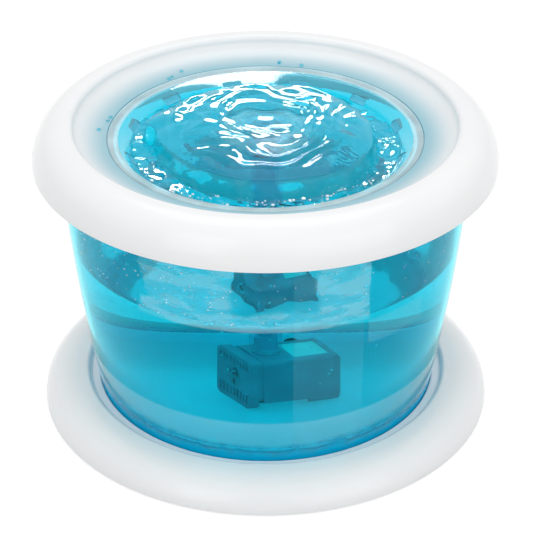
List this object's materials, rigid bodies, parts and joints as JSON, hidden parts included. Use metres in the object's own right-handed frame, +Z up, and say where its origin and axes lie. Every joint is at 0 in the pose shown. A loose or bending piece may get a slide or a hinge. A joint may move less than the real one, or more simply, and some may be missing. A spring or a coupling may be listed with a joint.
{
  "type": "pet water fountain",
  "caption": "Round pet water fountain: a clear blue bowl between white rings, with a drinking dish on top and a submersible pump whose riser tube wells water up in the dish.",
  "frame": {"origin": "on the ground below the bowl's axis", "axes": "+Z up along the bowl's axis, -Y towards the front"},
  "size_m": [0.27, 0.27, 0.1835],
  "materials": {
    "white_plastic": "gloss white, slightly milky",
    "clear_blue_plastic": "clear blue, polished",
    "dark_grey_plastic": "fine matt moulding",
    "grey_rubber": "matt",
    "black_rubber": "matt",
    "dark_rubber": "smooth soft rubber",
    "impeller_plastic": "smooth",
    "magnet_ferrite": "ground ferrite",
    "shaft_steel": "polished",
    "core_steel": "rolled sheet",
    "copper_winding": "lacquered copper wire",
    "filter_foam": "open-cell foam"
  },
  "bodies": {
    "base": {"base_ring": "white_plastic", "rubber_feet": "grey_rubber"},
    "bowl": {"bowl": "clear_blue_plastic", "pump_housing": "dark_grey_plastic", "motor_lid": "dark_grey_plastic", "chamber_cover": "dark_grey_plastic", "chamber_seal": "black_rubber", "outlet_nozzle": "clear_blue_plastic", "cable_gland": "black_rubber", "suction_cups": "dark_rubber", "stator_core": "core_steel", "stator_coil": "copper_winding", "impeller_shaft": "shaft_steel", "front_bush": "black_rubber", "rear_bush": "black_rubber"},
    "top_ring": {"top_ring": "white_plastic"},
    "dish": {"drinking_dish": "clear_blue_plastic", "riser_tube": "clear_blue_plastic", "bubble_nozzle": "clear_blue_plastic"},
    "rotor": {"impeller": "impeller_plastic", "rotor_magnet": "magnet_ferrite"},
    "intake": {"intake_cover": "dark_grey_plastic", "prefilter_foam": "filter_foam"},
    "flow_dial": {"flow_dial": "clear_blue_plastic"}
  },
  "joints": [
    {"name": "bowl_lift", "type": "slide", "parent": "base", "child": "bowl", "axis": [0, 0, 1], "range_m": [0, 0.03]},
    {"name": "top_ring_lift", "type": "slide", "parent": "bowl", "child": "top_ring", "axis": [0, 0, 1], "range_m": [0, 0.13]},
    {"name": "dish_lift", "type": "slide", "parent": "top_ring", "child": "dish", "axis": [0, 0, 1], "range_m": [0, 0.14]},
    {"name": "impeller_spin", "type": "hinge", "parent": "bowl", "child": "rotor", "pos_m": [0, 0, 0.0357], "axis": [0.9397, 0.342, 0], "continuous": true},
    {"name": "intake_slide", "type": "slide", "parent": "bowl", "child": "intake", "axis": [-0.9397, -0.342, 0], "range_m": [0, 0.03]},
    {"name": "flow_dial_turn", "type": "hinge", "parent": "intake", "child": "flow_dial", "pos_m": [0, 0, 0.0357], "axis": [0.9397, 0.342, 0], "range_deg": [0, 60]}
  ]
}
